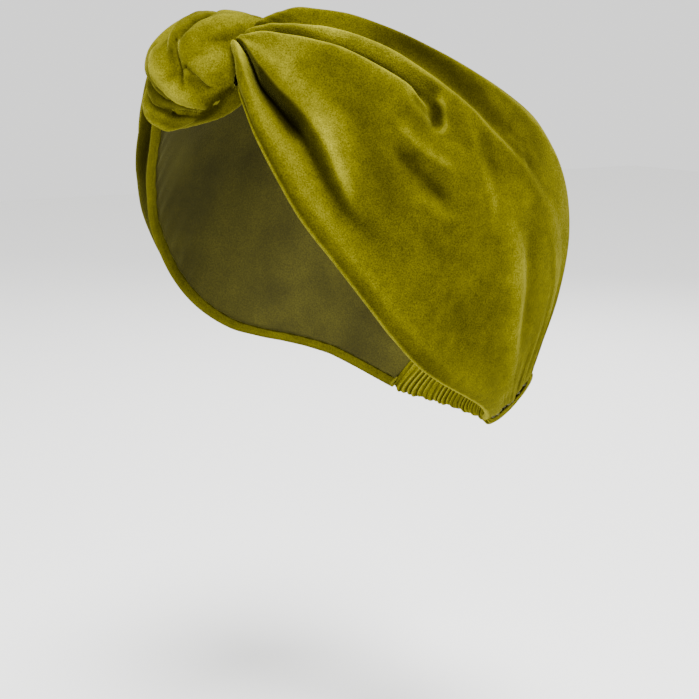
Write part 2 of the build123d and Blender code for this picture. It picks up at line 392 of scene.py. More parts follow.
def panel_skin(side, turn, across):
    """Right side of the velvet over the head, without its turned edges: rise and grow of each point."""
    folds = LEFT_FOLDS if side == "left" else RIGHT_FOLDS
    strokes = LEFT_STROKES if side == "left" else RIGHT_STROKES
    front, rear = front_edge(side, turn), edge_at(turn, 2)
    rise = front[:, None] + (rear - front)[:, None] * across[None, :]
    height, lean = np.stack([fold_section(folds, t, across) for t in turn], axis=1)
    whole_turn = np.broadcast_to(turn[:, None], rise.shape)
    middle = np.sin(np.pi * across)[None, :]
    for path, tall, wide in strokes:
        height = height + tall * stroke(path, whole_turn, rise, HEAD_SCALE, wide) * middle**0.3
    seed = 3 if side == "left" else 4
    height = height + 0.5 * wander(seed, np.radians(whole_turn) * 9, across[None, :] * 9, 1.0, 7) * middle
    pleats = wander(seed + 10, np.radians(whole_turn) * 2, across[None, :] * 34, 1.0, 5)
    near_ends = np.exp(-(((whole_turn - 16) / 12) ** 2)) + ease(118, 140, whole_turn)
    height = height + 0.55 * pleats * near_ends * middle
    lift = edge_at(turn, 3 if side == "left" else 4)[:, None]
    return rise + lean / np.radians(HEAD_Z), SKIN_GROW + lift + height, lift


# Patches of painted shade and painted highlight on the panels: (path of (turn, rise), change of painted
# shading, half width in mm).
LEFT_PAINTED_SHADING = [
    ([(14, 8), (18, 7.5), (24, 8), (32, 9)], 0.22, 5.5),
    ([(18, 3), (24, -2), (33, -6), (45, -11), (60, -15.5), (80, -20), (110, -19), (140, -16)], 0.09, 6.5),
    ([(20.5, 1.2), (23, -0.6), (27, -3.4), (32, -6.6)], 0.12, 1.8),
    ([(19, 5), (23, 3.4), (28, 1.6), (33, -0.4), (39, -3)], -0.30, 3.6),
    ([(38, 2.4), (43, 0.5), (47, -1.8), (50.5, -3.8), (54, -6), (57, -8.4)], 0.24, 2.4),
    ([(26, 6), (35, 5), (43, 3), (48, 0.6)], 0.10, 4.0),
    ([(24, 14.5), (30, 16.6), (38, 19), (46, 20.6), (53, 21.2), (58, 20)], 0.34, 2.6),
    ([(40, 9), (48.5, 5.6), (58, 1), (68, -6)], -0.12, 6.0),
    ([(56, 7), (64, 5), (74, 5)], -0.14, 5.0),
    ([(52, 14), (58, 15), (61, 13)], -0.14, 3.4),
    ([(30, 21), (44, 27), (58, 30), (70, 30)], -0.14, 6.0),
    ([(30, 25), (50, 28), (66, 28), (76, 27.5), (86, 24), (98, 17)], -0.18, 5.5),
    ([(58, 34), (72, 35), (84, 33), (94, 27)], -0.12, 6.0),
    ([(60, 22), (71, 20), (82, 15)], -0.10, 6.0),
    ([(84, 14), (92, 9), (100, 2), (110, -6), (122, -12), (138, -15)], 0.18, 5.0),
    ([(100, 20), (108, 8), (118, -2), (130, -8)], 0.04, 6.0),
    ([(61, 23), (65, 21.6), (69.5, 19.5), (73, 17), (77, 14.6), (82, 11.5), (88, 6)], 0.09, 2.2),
    ([(74, 26), (82, 25.5), (88, 22), (94, 14)], 0.10, 3.0),
]
RIGHT_PAINTED_SHADING = [
    ([(18, 0), (30, -8), (45, -14), (60, -20), (80, -26), (110, -22)], -0.22, 7.0),
    ([(30, 14), (46, 12), (66, 8)], -0.10, 9.0),
    ([(84, 14), (100, 2), (122, -12), (138, -15)], 0.16, 6.0),
]


def panel_painted_shading(side, turn, rise, grow, lift):
    """Painted shading of a panel: painted shade on slopes that face the front, a painted highlight on crests,
    and painted shade and highlight along the listed strokes.
    """
    height = grow - lift
    wide = soften(soften(height, 14, 1), 10, 0)
    crest = (height - wide) / 4.0
    span = np.gradient(rise, axis=1) * np.radians(HEAD_Z)
    slope = np.gradient(height, axis=1) / np.maximum(span, 0.05)
    slope = soften(np.clip(slope, -1.5, 1.5), 2, 1)
    # Painted shading: paler on crests, darker in folds and on slopes that face the front, where less light
    # falls.
    painted_shading = 0.44 + 0.28 * crest - 0.12 * slope
    whole_turn = np.broadcast_to(turn[:, None], rise.shape)
    for path, change, reach in LEFT_PAINTED_SHADING if side == "left" else RIGHT_PAINTED_SHADING:
        painted_shading = painted_shading + change * stroke(path, whole_turn, rise, HEAD_SCALE, reach)
    return painted_shading


def panel_grid(side):
    """Grid of the velvet's right side from the front hem's raw edge round the cloth to the rear one's."""
    turn = np.linspace(PANEL_START, PANEL_END, PANEL_ROWS)
    across = np.linspace(0, 1, PANEL_COLUMNS)
    rise, grow, lift = panel_skin(side, turn, across)
    rises, grows, painted_shading_parts = [rise], [grow], [panel_painted_shading(side, turn, rise, grow, lift)]
    degree = 1 / np.radians(HEAD_Z)
    for at_front in (True, False):
        edge = rise[:, :1] if at_front else rise[:, -1:]
        outer = grow[:, :1] if at_front else grow[:, -1:]
        inner = lift + HEM_GROW
        sign = 1 if at_front else -1
        angle = np.linspace(0, np.pi, ROLL_COLUMNS + 1)[1:][None, :]
        radius = (outer - inner) / 2
        roll_rise = edge - sign * radius * np.sin(angle) * degree
        roll_grow = inner + radius * (1 + np.cos(angle))
        hem = np.linspace(0, HEM_WIDTH, HEM_COLUMNS + 1)[1:][None, :]
        shrink = np.clip((rise[:, -1:] - rise[:, :1]) / 30.0, 0.3, 1)
        hem_rise = edge + sign * hem * degree * shrink
        hem_grow = np.broadcast_to(inner, hem_rise.shape)
        extra_rise = np.concatenate([roll_rise, hem_rise], axis=1)
        extra_grow = np.concatenate([roll_grow, hem_grow], axis=1)
        # The rolled edges and hems get one painted tone each: a painted highlight on the left side and a
        # darker painted tone on the right.
        edge_painted_shading = np.full(extra_rise.shape, 0.70 if side == "left" else 0.42)
        if at_front:
            rises.insert(0, extra_rise[:, ::-1])
            grows.insert(0, extra_grow[:, ::-1])
            painted_shading_parts.insert(0, edge_painted_shading)
        else:
            rises.append(extra_rise)
            grows.append(extra_grow)
            painted_shading_parts.append(edge_painted_shading)
    rise, grow, painted_shading = (np.concatenate(parts, axis=1) for parts in (rises, grows, painted_shading_parts))
    return into_throat(head_point(turn[:, None], rise, grow), turn, rise), soften(painted_shading, 2, 1)


THROAT = np.array([18.0, -108.5, 15.5])
# Turn at which the cloth starts to dive under the wrap's edge, by rise: (rise, turn).
CREASE = np.array(
    [
        (-12.0, 27.5), (-5.0, 25.8), (-1.5, 24.2), (0.4, 23.1), (1.9, 22.1), (3.2, 20.5), (4.8, 17.9),
        (7.0, 15.6),
        (8.5, 16.2), (10.5, 17.2), (12.5, 18.0), (14.5, 19.0), (16.5, 20.2), (20.0, 20.6), (30.0, 20.6),
    ]
)
DIVE_TURN = 6.0


def into_throat(points, turn, rise):
    """Draws the cloth down under the wrap's edge with a round end, towards the middle of its mouth."""
    crease = monotone(CREASE[:, 0], CREASE[:, 1], rise)
    depth = np.clip((crease + 0.8 - turn[:, None]) / DIVE_TURN, 0, 1)
    share = (1 - np.sqrt(1 - depth**2))[..., None]
    target = THROAT + (points - THROAT) * np.array([1.0, 0.3, 0.72])
    return points + (target - points) * share


def mirrored(points, side):
    return points if side == "left" else points[:, ::-1] * np.array([-1.0, 1.0, 1.0])


def side_panel(side):
    points, painted_shading = panel_grid(side)
    piece = cloth_from_grid(side + "_outer_panel_velvet", mirrored(points, side), PANEL_WALL)
    paint_shading(piece, painted_shading if side == "left" else painted_shading[:, ::-1])
    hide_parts(side + "_outer_panel")
    return piece


# ---------------------------------------------------------------- linings
LINING_GROW, LINING_WALL, LINING_INSET = 0.85, 0.6, 1.4
LINING_COLUMNS = 60


def side_lining(side):
    turn = np.linspace(PANEL_START + 2, PANEL_END - 0.4, PANEL_ROWS)
    across = np.linspace(0, 1, LINING_COLUMNS)
    front, rear = front_edge(side, turn) + LINING_INSET, edge_at(turn, 2) - LINING_INSET
    rise = front[:, None] + (rear - front)[:, None] * across[None, :]
    lift = edge_at(turn, 3 if side == "left" else 4)[:, None]
    middle = np.sin(np.pi * across)[None, :]
    seed = 23 if side == "left" else 24
    waves = wander(seed, np.radians(turn)[:, None] * 12, across[None, :] * 8, 1.0, 7)
    pucker = 0.3 * np.sin(np.radians(turn) * 70)[:, None] * (1 - middle) ** 3
    grow = LINING_GROW + lift + (0.9 + 0.9 * waves) * middle + pucker
    points = into_throat(head_point(turn[:, None], rise, grow), turn, rise)
    piece = cloth_from_grid(side + "_lining_jersey", mirrored(points, side), LINING_WALL)
    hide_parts(side + "_lining")
    return piece


# ---------------------------------------------------------------- knot
KNOT_HALF_LENGTH = 26.0
KNOT_BACK = 95.6
KNOT_MID = (19.0, 27.4, 4.0)
KNOT_MOUTH = (12.6, 21.0, 16.0)
KNOT_ROWS, KNOT_COLUMNS = 290, 110
PUFF_ROUND, PUFF_DROP, LIP_ROUND = 7.5, 5.0, 0.9
WRAP_WALL = 1.4
# Where the folds of the wrap gather: a point low at the left mouth, with its twin high at the right one.
PINCH_TURN, PINCH_X, PINCH_SPAN = -104.0, 22.0, 30.0
# Swell of the wrap by the angle round the line through the two pinch points: (angle, height in mm).
KNOT_SWELL = [
    (-180, -3.2), (-130, -2.4), (-111, -1.3), (-95, 0.0), (-85, 0.8), (-72, 1.2), (-66, 0.5), (-61, -1.6),
    (-55, -3.4),
    (-46, -2.6), (-42, -3.0), (-37, -3.8), (-32, -3.4), (-27, -1.2), (-22, 1.0), (-12, -2.0), (-2, -2.8),
    (11, -1.8),
    (28, -1.8), (45, -1.6), (63, -3.0), (75, -3.8), (120, -3.2), (180, -3.2),
]
# Edges of cloth lying over the next fold: (path of (angle round the barrel, place along x), height of the
# rounded edge and depth of the crease beneath it in mm). The upper cloth is on the right of the path.
KNOT_LAPS = [
    ([(57, -0.5), (48, -3.5), (37, -5.5), (24, -5.5), (13, -3.6), (1, -0.7), (-10, 3.3),
      (-20, 4.7)], 1.2, 2.2),
    ([(6, 4), (-7, 8.5), (-16, 10.9), (-23, 12.7), (-32, 14.1), (-42, 15.1), (-54, 16.2),
      (-68, 17.3)], 0.9, 1.6),
    ([(-26, 15), (-37, 18.3), (-44, 19.9), (-54, 21.4), (-64, 22.8), (-74, 24.4)], 0.9, 1.6),
    ([(-6, -9), (-16, -5.6), (-26, -0.3), (-37, 4.3), (-44, 7.7), (-52, 10.9), (-61, 13.7), (-72, 16.5),
      (-82, 18.7),
      (-92, 21), (-98, 23)], 1.3, 1.9),
    ([(-14, -14), (-22, -9.5), (-30, -4.6), (-37, -1.5), (-45, 4.7), (-51, 7.9), (-59, 10.9), (-68, 14.1),
      (-77, 16.7), (-88, 19.4), (-98, 22)], 0.5, 1.0),
    ([(-34, -10), (-44, -2.9), (-53, 2.3), (-59, 5.3), (-64, 7.1), (-68, 10.1), (-73, 12.9), (-78, 14.9),
      (-86, 17.6), (-98, 21)], 1.0, 2.2),
    ([(-66, -4), (-72, 1.9), (-77, 5.3), (-81, 8.3), (-87, 11.5), (-91, 14.7), (-99, 19)], 0.8, 1.7),
    ([(-108, 0), (-104, 4.3), (-103, 9.9), (-101, 13.9), (-99, 18)], 0.8, 1.4),
]
# Soft rises and hollows: (path, height in mm, half width in mm).
KNOT_STROKES = [
    ([(46, 9), (35, 7.3), (25, 5.6), (14, 6.4), (4, 7.8), (-8, 10.6)], -1.2, 2.4),
    ([(66, -2), (58, 12), (44, 22)], 0.9, 3.2),
    ([(40, 17), (28, 13), (18, 11.3), (8, 10.9), (-1, 11.5)], 0.7, 2.6),
    ([(30, 23.5), (14, 23.4), (2, 22), (-6, 18.5)], -0.8, 2.6),
    ([(-12, 20), (-30, 21), (-46, 23)], -0.5, 2.2),
]


def knot_profile(x):
    share = 1 - (x / KNOT_HALF_LENGTH) ** 2
    return [mouth + (mid - mouth) * share for mouth, mid in zip(KNOT_MOUTH, KNOT_MID)]


def knot_point(around, x, off):
    """Point of the wrap: around is the angle about the knot's long axis from the front, x along it."""
    depth, height, centre = knot_profile(x)
    angle = np.radians(around)
    y = -KNOT_BACK - depth - (depth + off) * np.cos(angle)
    return np.stack([x + 0 * y, y, centre + (height + off) * np.sin(angle)], -1)


def puff_curve():
    """Section of the wrap from mouth to mouth: place along x and depth below the barrel."""
    flat = KNOT_HALF_LENGTH - PUFF_ROUND
    bend = np.linspace(0, np.pi / 2, 22)[1:]
    lip = np.linspace(0, np.pi, 7)[1:]
    x = [flat + PUFF_ROUND * np.sin(bend), KNOT_HALF_LENGTH - LIP_ROUND * (1 - np.cos(lip))]
    sunk = [PUFF_DROP * (1 - np.cos(bend)), PUFF_DROP + LIP_ROUND * np.sin(lip)]
    tail = np.array([2.0, 4.0, 6.5])
    x.append(KNOT_HALF_LENGTH - 2 * LIP_ROUND - tail)
    sunk.append(PUFF_DROP + 0.05 * tail)
    x, sunk = np.concatenate(x), np.concatenate(sunk)
    middle = np.linspace(-flat, flat, KNOT_COLUMNS)
    return np.concatenate([-x[::-1], middle, x]), np.concatenate([sunk[::-1], 0 * middle, sunk])


def fold_angles(around, x):
    """Angle round the pinch line and angle away from its equator, of points on the wrap."""
    def on_ball(angle, at):
        level = np.sqrt(np.clip(1 - (at / PINCH_SPAN) ** 2, 0, 1))
        angle = np.radians(angle)
        return np.stack([at / PINCH_SPAN + 0 * angle, np.cos(angle) * level, np.sin(angle) * level], -1)

    pole = on_ball(np.array(PINCH_TURN), np.array(PINCH_X))
    front = np.array([0.0, 1.0, 0.0])
    front = front - pole * (front @ pole)
    front /= np.linalg.norm(front)
    side = np.cross(pole, front)
    here = on_ball(around, x)
    angle = np.degrees(np.arctan2(here @ side, here @ front))
    return angle, np.degrees(np.arcsin(np.clip(here @ pole, -1, 1)))


# Millimetres per degree round the barrel and per millimetre along it.
BARREL_SCALE = np.array([np.radians(23.0), 1.0])
RIM_REACH, GROOVE_WIDTH = 2.0, 1.1
# Patches of painted shade and painted highlight on the wrap: (path, change of painted shading, half width in
# mm).
KNOT_PAINTED_SHADING = [
    ([(48, 9), (35, 7.3), (25, 5.6), (14, 6.4), (4, 7.8), (-8, 10.6)], -0.20, 2.6),
    ([(62, 16), (48, 19), (36, 16), (28, 13), (18, 11.3), (6, 11)], 0.12, 3.4),
    ([(54, 22), (38, 21), (22, 21), (11, 20.5)], 0.10, 3.0),
    ([(28, 24.5), (14, 24), (2, 22), (-6, 18.5)], -0.14, 2.6),
    ([(-42, 11), (-56, 16), (-70, 19)], 0.08, 3.4),
    ([(-10, -8), (-22, -4), (-34, 3)], -0.12, 3.0),
    ([(-72, -6), (-84, 1), (-91, 8)], 0.16, 3.6),
    ([(-6, 23.5), (-24, 22.4), (-46, 23.4)], 0.14, 3.4),
    ([(-70, 26), (-84, 25), (-96, 21), (-104, 14)], -0.26, 3.4),
]


def knot_relief(around, x):
    """Height of the wrap over its barrel, and the painted shading on it: painted highlights by the lapped
    edges, painted shade in the creases under them and along the listed strokes.
    """
    angle, off_equator = fold_angles(around, x)
    from_pole = 90 - np.abs(off_equator)
    swell = monotone(*np.array(KNOT_SWELL, float).T, angle)
    ripple = 0.1 * np.sin(np.radians(angle) * 23 + 1.3)
    height = swell * ease(4, 38, from_pole) + ripple * ease(4, 20, from_pole)
    painted_shading = 0.0 * height
    for path, rim, groove in KNOT_LAPS:
        off, along = near_path(path, around, x, BARREL_SCALE)
        share = ease(-0.03, 0.2, along) * ease(0, 0.4, 1 - along) * ease(0, 24, from_pole)
        reach = np.abs(off) / RIM_REACH
        edge = np.where(off > 0, rim, -0.4 * rim) * reach * np.exp(1 - reach)
        height = height + share * (edge - groove * np.exp(-((off / GROOVE_WIDTH) ** 2)))
        # Painted highlight along each lapped edge, painted shade in the crease beneath it and on its low
        # side.
        rim_highlight_and_shade = 0.18 * np.exp(-(((off - 0.95) / 0.6) ** 2)) - 0.16 * np.exp(-(((off + 2.4) / 1.9) ** 2))
        painted_shading = painted_shading + share * (rim * rim_highlight_and_shade - 0.27 * groove * np.exp(-(((off + 0.3) / 0.75) ** 2)))
    for path, tall, wide in KNOT_STROKES:
        height = height + tall * stroke(path, around, x, BARREL_SCALE, wide)
    for path, change, reach in KNOT_PAINTED_SHADING:
        painted_shading = painted_shading + change * stroke(path, around, x, BARREL_SCALE, reach)
    return height, painted_shading


def knot_wrap():
    around = np.linspace(-180, 180, KNOT_ROWS + 1)[:-1]
    x, sunk = puff_curve()
    a, b = np.meshgrid(around, x, indexing="ij")
    height, brush_marks_and_shading = knot_relief(a, b)
    height = soften(soften(height, 1, 0), 1, 1)
    crest = height - soften(soften(height, 6, 0), 4, 1)
    slope = soften(np.gradient(height, axis=0) / 0.42, 1, 0)
    # Painted shading of the wrap: painted highlight on crests, painted shade on slopes facing one way, plus
    # the painted strokes.
    painted_shading = 0.46 + 0.12 * crest - 0.10 * np.clip(slope, -1.5, 1.5) + brush_marks_and_shading
    grid = knot_point(a, b, height - sunk[None, :])
    grid = grid.transpose(1, 0, 2)[:, ::-1]
    piece = cloth_from_grid("knot_wrap_velvet", grid, WRAP_WALL, closed=True)
    paint_shading(piece, painted_shading.T[:, ::-1])
    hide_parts("knot_wrap")
    return piece


def knot_core():
    """Pleated panel ends, drawn together and stitched inside the wrap."""
    around = np.linspace(-180, 180, 181)[:-1]
    x = np.linspace(-17, 17, 40)
    a, b = np.meshgrid(around, x, indexing="ij")
    pleat = 0.9 * np.sin(np.radians(a) * 17 + 0.02 * b) + 0.4 * np.sin(np.radians(a) * 31)
    waist = -7.0 - 1.2 * np.cos(b / 17 * np.pi)
    grid = knot_point(a, b, waist + pleat).transpose(1, 0, 2)[:, ::-1]
    caps = []
    for row in (grid[0], grid[-1]):
        middle = row.mean(0)
        caps.append(np.stack([middle + (row - middle) * k for k in (0.03, 0.35, 0.7, 0.93)]))
    grid = np.concatenate([caps[0], grid, caps[1][::-1]])
    piece = cloth_from_grid("knot_core_pleats", grid, 1.2, closed=True)
    paint_shading(piece, np.full(grid.shape[:2], 0.35))
    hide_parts("knot_core")
    return piece


# ---------------------------------------------------------------- nape
NAPE_START = 149.4
NAPE_END_RISE, NAPE_MID_RISE, NAPE_GROW = -10.5, -6.5, 4.4
CASING_HALF_WIDTH, CASING_HALF_DEPTH = 16.0, 3.6
CASING_ROWS, CASING_COLUMNS = 150, 130
CASING_WALL = 0.9
RUCHES = 15
ELASTIC_HALF_WIDTH, ELASTIC_HALF_THICKNESS, ELASTIC_WALL = 12.2, 0.6, 0.3


def nape_frame(turn):
    """Middle line of the nape, with the outward and the upward direction across it."""
    share = ((turn - 180) / (180 - NAPE_START)) ** 2
    rise = NAPE_MID_RISE + (NAPE_END_RISE - NAPE_MID_RISE) * share
    middle = head_point(turn, rise, NAPE_GROW)
    out = head_point(turn, rise, NAPE_GROW + 1) - middle
    out /= np.linalg.norm(out, axis=-1, keepdims=True)
    up = np.broadcast_to(np.array([0.0, 0.0, 1.0]), out.shape)
    up = up - out * (up * out).sum(-1, keepdims=True)
    return middle, out, up / np.linalg.norm(up, axis=-1, keepdims=True)


def casing_half(side):
    """Half of the ruched tube, from the panel's end to the middle of the nape, where the ruches run on."""
    turn = np.linspace(NAPE_START, 180, CASING_ROWS)
    around = np.linspace(-np.pi, np.pi, CASING_COLUMNS + 1)[:-1]
    t, a = np.meshgrid(turn, around, indexing="ij")
    middle, out, up = nape_frame(t)
    from_middle = (180 - t) / (180 - NAPE_START) * (1 if side == "left" else -1)
    phase = np.pi * RUCHES * from_middle + 0.8 * np.sin(2 * a + 3 * from_middle)
    phase = phase + 0.5 * np.sin(3 * a + 5 * from_middle)
    seam = ease(0.0, 0.12, 1 - np.abs(from_middle)) * 0.8 + 0.2
    ruche = ((np.abs(np.sin(phase)) ** 0.7 - 0.5) * 1.7 + 0.35 * np.sin(2.3 * phase + 1.7 * a)) * seam
    tuck = 0.8 + 0.2 * ease(0.0, 0.15, 1 - np.abs(from_middle))
    half_width = CASING_HALF_WIDTH * tuck + 0.5 * np.sin(phase * 0.7)
    half_depth = CASING_HALF_DEPTH * tuck + ruche * 0.9
    flat = np.sign(np.cos(a)) * np.abs(np.cos(a)) ** 0.75
    wide = np.sin(a) * (half_width + 0.4 * ruche)
    points = middle + out * (flat * half_depth)[..., None] + up * wide[..., None]
    name = "elastic_casing_velvet_" + side
    piece = cloth_from_grid(name, mirrored(points, side), CASING_WALL, closed=True)
    # Painted highlight on the crests of the ruches and painted shade in their hollows.
    painted_shading = 0.42 + 0.28 * ruche
    paint_shading(piece, painted_shading if side == "left" else painted_shading[:, ::-1])
    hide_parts("elastic_casing")
    return piece


def elastic_half(side):
    """Half of the flat woven elastic inside the tube."""
    turn = np.linspace(NAPE_START + 0.8, 180, 120)
    around = np.linspace(-np.pi, np.pi, 61)[:-1]
    t, a = np.meshgrid(turn, around, indexing="ij")
    middle, out, up = nape_frame(t)
    rib = 0.12 * np.sin(np.radians(t) * 900)
    flat = np.sign(np.cos(a)) * np.abs(np.cos(a)) ** 0.35
    wide = np.sign(np.sin(a)) * np.abs(np.sin(a)) ** 0.8
    thick = flat * (ELASTIC_HALF_THICKNESS + rib)
    points = middle + out * thick[..., None] + up * (wide * ELASTIC_HALF_WIDTH)[..., None]
    name = "elastic_webbing_" + side
    piece = cloth_from_grid(name, mirrored(points, side), ELASTIC_WALL, closed=True)
    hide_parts("elastic")
    return piece


# ---------------------------------------------------------------- thread
def thread_tube(points, radius=0.32, sides=10):
    """Points and faces of a plied thread along a path, with round ends."""
    rings, count = [], len(points)
    run = np.gradient(points, axis=0)
    run /= np.linalg.norm(run, axis=1, keepdims=True)
    for i, (point, along) in enumerate(zip(points, run)):
        first = np.cross(along, [0.3, 0.5, 0.81])
        first /= np.linalg.norm(first)
        second = np.cross(along, first)
        angle = np.linspace(0, 2 * np.pi, sides, endpoint=False)
        ply = 1 + 0.18 * np.cos(2 * angle + i * 1.1)
        size = radius * min(1.0, 0.35 + 0.65 * min(i, count - 1 - i)) * ply
        ring = np.cos(angle)[:, None] * first + np.sin(angle)[:, None] * second
        rings.append(point + size[:, None] * ring)
    faces = []
    for i in range(count - 1):
        for j in range(sides):
            k = (j + 1) % sides
            faces.append((i * sides + j, i * sides + k, (i + 1) * sides + k, (i + 1) * sides + j))
    faces.append(tuple(range(sides))[::-1])
    faces.append(tuple((count - 1) * sides + j for j in range(sides)))
    return np.concatenate(rings), faces


def stitch_row(name, paths, node):
    """One piece of thread made of separate stitches."""
    points, faces, start = [], [], 0
    for path in paths:
        ring_points, ring_faces = thread_tube(path)
        points.append(ring_points)
        faces += [tuple(i + start for i in face) for face in ring_faces]
        start += len(ring_points)
    piece = mesh_piece(name, to_row(np.concatenate(points)), faces)
    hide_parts(node)
    return piece


SEAM_TURN, SEAM_STITCHES, SEAM_STEP = 147.6, 11, 8
TACKING_STITCHES, TACKING_STEP = 9, 4.2


def back_seam(side):
    """Running stitches across the narrow end of the panel, half sunk in the pile."""
    turn = np.linspace(147.0, 148.0, 3)
    across = np.linspace(0.02, 0.98, 97)
    rise, grow, _ = panel_skin(side, turn, across)
    line = head_point(SEAM_TURN, rise[1], grow[1])
    paths = []
    for start in range(4, 4 + SEAM_STITCHES * SEAM_STEP, SEAM_STEP):
        part = line[start : start + 6]
        lift = 0.25 * np.sin(np.linspace(0, np.pi, len(part)))[:, None]
        out = part - np.array([0.0, 0.0, 1.0]) * part[:, 2:]
        out /= np.linalg.norm(out, axis=1, keepdims=True)
        path = part + out * (lift * 1.6 - 0.12)
        paths.append(path if side == "left" else path * np.array([-1.0, 1.0, 1.0]))
    return stitch_row(side + "_back_seam_thread", paths, side + "_back_seam")


def knot_tacking():
    """Short stitches that close the wrap on the side that lies on the head."""
    paths = []
    for i in range(TACKING_STITCHES):
        x = np.linspace(-1.4, 1.4, 6) + (i - TACKING_STITCHES // 2) * TACKING_STEP
        side = np.full(len(x), 180.0 - 2.0 * (i % 2))
        off = knot_relief(side, x)[0] + 0.15 + 0.3 * np.sin(np.linspace(0, np.pi, len(x)))
        paths.append(knot_point(side, x, off))
    return stitch_row("knot_tacking_thread", paths, "knot_tacking")


# ---------------------------------------------------------------- materials
def new_material(name):
    material = bpy.data.materials.new(name)
    material.use_nodes = True
    nodes, links = material.node_tree.nodes, material.node_tree.links
    shader = next(n for n in nodes if n.type == "BSDF_PRINCIPLED")
    return material, nodes, links, shader


def noise(nodes, links, scale, detail=3.0, roughness=0.55, vector=None):
    node = nodes.new("ShaderNodeTexNoise")
    node.inputs["Scale"].default_value = scale
    node.inputs["Detail"].default_value = detail
    node.inputs["Roughness"].default_value = roughness
    links.new(vector, node.inputs["Vector"])
    return node.outputs["Fac"]


def ramp(nodes, links, value, stops):
    node = nodes.new("ShaderNodeValToRGB")
    while len(node.color_ramp.elements) < len(stops):
        node.color_ramp.elements.new(0.5)
    for element, (place, colour) in zip(node.color_ramp.elements, stops):
        element.position = place
        element.color = (*colour, 1)
    links.new(value, node.inputs["Fac"])
    return node.outputs["Color"]


def mix(nodes, links, share, first, second, blend="MIX"):
    node = nodes.new("ShaderNodeMix")
    node.data_type = "RGBA"
    node.blend_type = blend
    for socket, value in ((node.inputs[0], share), (node.inputs[6], first), (node.inputs[7], second)):
        if isinstance(value, bpy.types.NodeSocket):
            links.new(value, socket)
        elif isinstance(value, tuple):
            socket.default_value = (*value, 1)
        else:
            socket.default_value = value
    return node.outputs[2]


def bump(nodes, links, height, distance, strength, normal=None):
    node = nodes.new("ShaderNodeBump")
    node.inputs["Distance"].default_value = distance
    node.inputs["Strength"].default_value = strength
    links.new(height, node.inputs["Height"])
    if normal:
        links.new(normal, node.inputs["Normal"])
    return node.outputs["Normal"]


# Colour of the velvet by its painted shading, from painted shade at 0 to painted highlight at 1.
VELVET_TONES = [
    (0.0, (0.0035, 0.0028, 0.0001)),
    (0.25, (0.020, 0.0175, 0.0005)),
    (0.5, (0.064, 0.0580, 0.0022)),
    (0.75, (0.135, 0.124, 0.0070)),
    (1.0, (0.24, 0.222, 0.0220)),
]


def velvet():
    """Cut pile coloured by its painted shading: painted shade in the folds, painted highlight on the crests,
    with a grain of tufts and a soft bloom.
    """
    material, nodes, links, shader = new_material("olive_velvet")
    place = nodes.new("ShaderNodeTexCoord").outputs["Object"]
    # Reads the painted shading stored on the cloth.
    shading_reader = nodes.new("ShaderNodeAttribute")
    shading_reader.attribute_name = "painted_shading"
    patches = noise(nodes, links, 45.0, 3.0, 0.55, place)
    brush_marks_and_shading = noise(nodes, links, 210.0, 4.0, 0.6, place)
    grain = noise(nodes, links, 1700.0, 2.0, 0.6, place)
    tone = ramp(nodes, links, shading_reader.outputs["Fac"], VELVET_TONES)
    patch = ramp(nodes, links, patches, [(0.3, (0.80,) * 3), (0.7, (1.18,) * 3)])
    base = mix(nodes, links, 1.0, tone, patch, "MULTIPLY")
    stroke = ramp(nodes, links, brush_marks_and_shading, [(0.3, (0.84,) * 3), (0.72, (1.2,) * 3)])
    base = mix(nodes, links, 1.0, base, stroke, "MULTIPLY")
    speck = ramp(nodes, links, grain, [(0.28, (0.55,) * 3), (0.72, (1.45,) * 3)])
    base = mix(nodes, links, 1.0, base, speck, "MULTIPLY")
    point = nodes.new("ShaderNodeNewGeometry").outputs["Pointiness"]
    worn = ramp(nodes, links, point, [(0.51, (0.0,) * 3), (0.58, (0.35,) * 3)])
    base = mix(nodes, links, worn, base, VELVET_TONES[-1][1])
    links.new(base, shader.inputs["Base Color"])
    rough = ramp(nodes, links, brush_marks_and_shading, [(0.3, (0.80,) * 3), (0.7, (0.95,) * 3)])
    links.new(rough, shader.inputs["Roughness"])
    first = bump(nodes, links, brush_marks_and_shading, 0.0006, 0.3)
    links.new(bump(nodes, links, grain, 0.0004, 0.7, first), shader.inputs["Normal"])
    shader.inputs["Specular IOR Level"].default_value = 0.0
    shader.inputs["Sheen Weight"].default_value = 0.32
    shader.inputs["Sheen Roughness"].default_value = 0.34
    shader.inputs["Sheen Tint"].default_value = (0.70, 0.66, 0.10, 1)
    return material


def jersey():
    """Fine knit: loops too small to see apart, matte and a little uneven in colour."""
    material, nodes, links, shader = new_material("olive_jersey")
    place = nodes.new("ShaderNodeTexCoord").outputs["Object"]
    drift = noise(nodes, links, 38.0, 3.0, 0.5, place)
    loops = noise(nodes, links, 1500.0, 1.0, 0.4, place)
    fibre = noise(nodes, links, 3200.0, 2.0, 0.6, place)
    base = ramp(nodes, links, drift, [(0.3, (0.017, 0.0150, 0.0010)), (0.7, (0.034, 0.0305, 0.0024))])
    speck = ramp(nodes, links, loops, [(0.3, (0.72,) * 3), (0.7, (1.25,) * 3)])
    links.new(mix(nodes, links, 1.0, base, speck, "MULTIPLY"), shader.inputs["Base Color"])
    first = bump(nodes, links, loops, 0.0004, 0.5)
    links.new(bump(nodes, links, fibre, 0.0002, 0.4, first), shader.inputs["Normal"])
    rough = ramp(nodes, links, fibre, [(0.3, (0.8,) * 3), (0.7, (0.95,) * 3)])
    links.new(rough, shader.inputs["Roughness"])
    shader.inputs["Specular IOR Level"].default_value = 0.1
    shader.inputs["Sheen Weight"].default_value = 0.12
    shader.inputs["Sheen Roughness"].default_value = 0.5
    shader.inputs["Sheen Tint"].default_value = (0.7, 0.66, 0.2, 1)
    return material


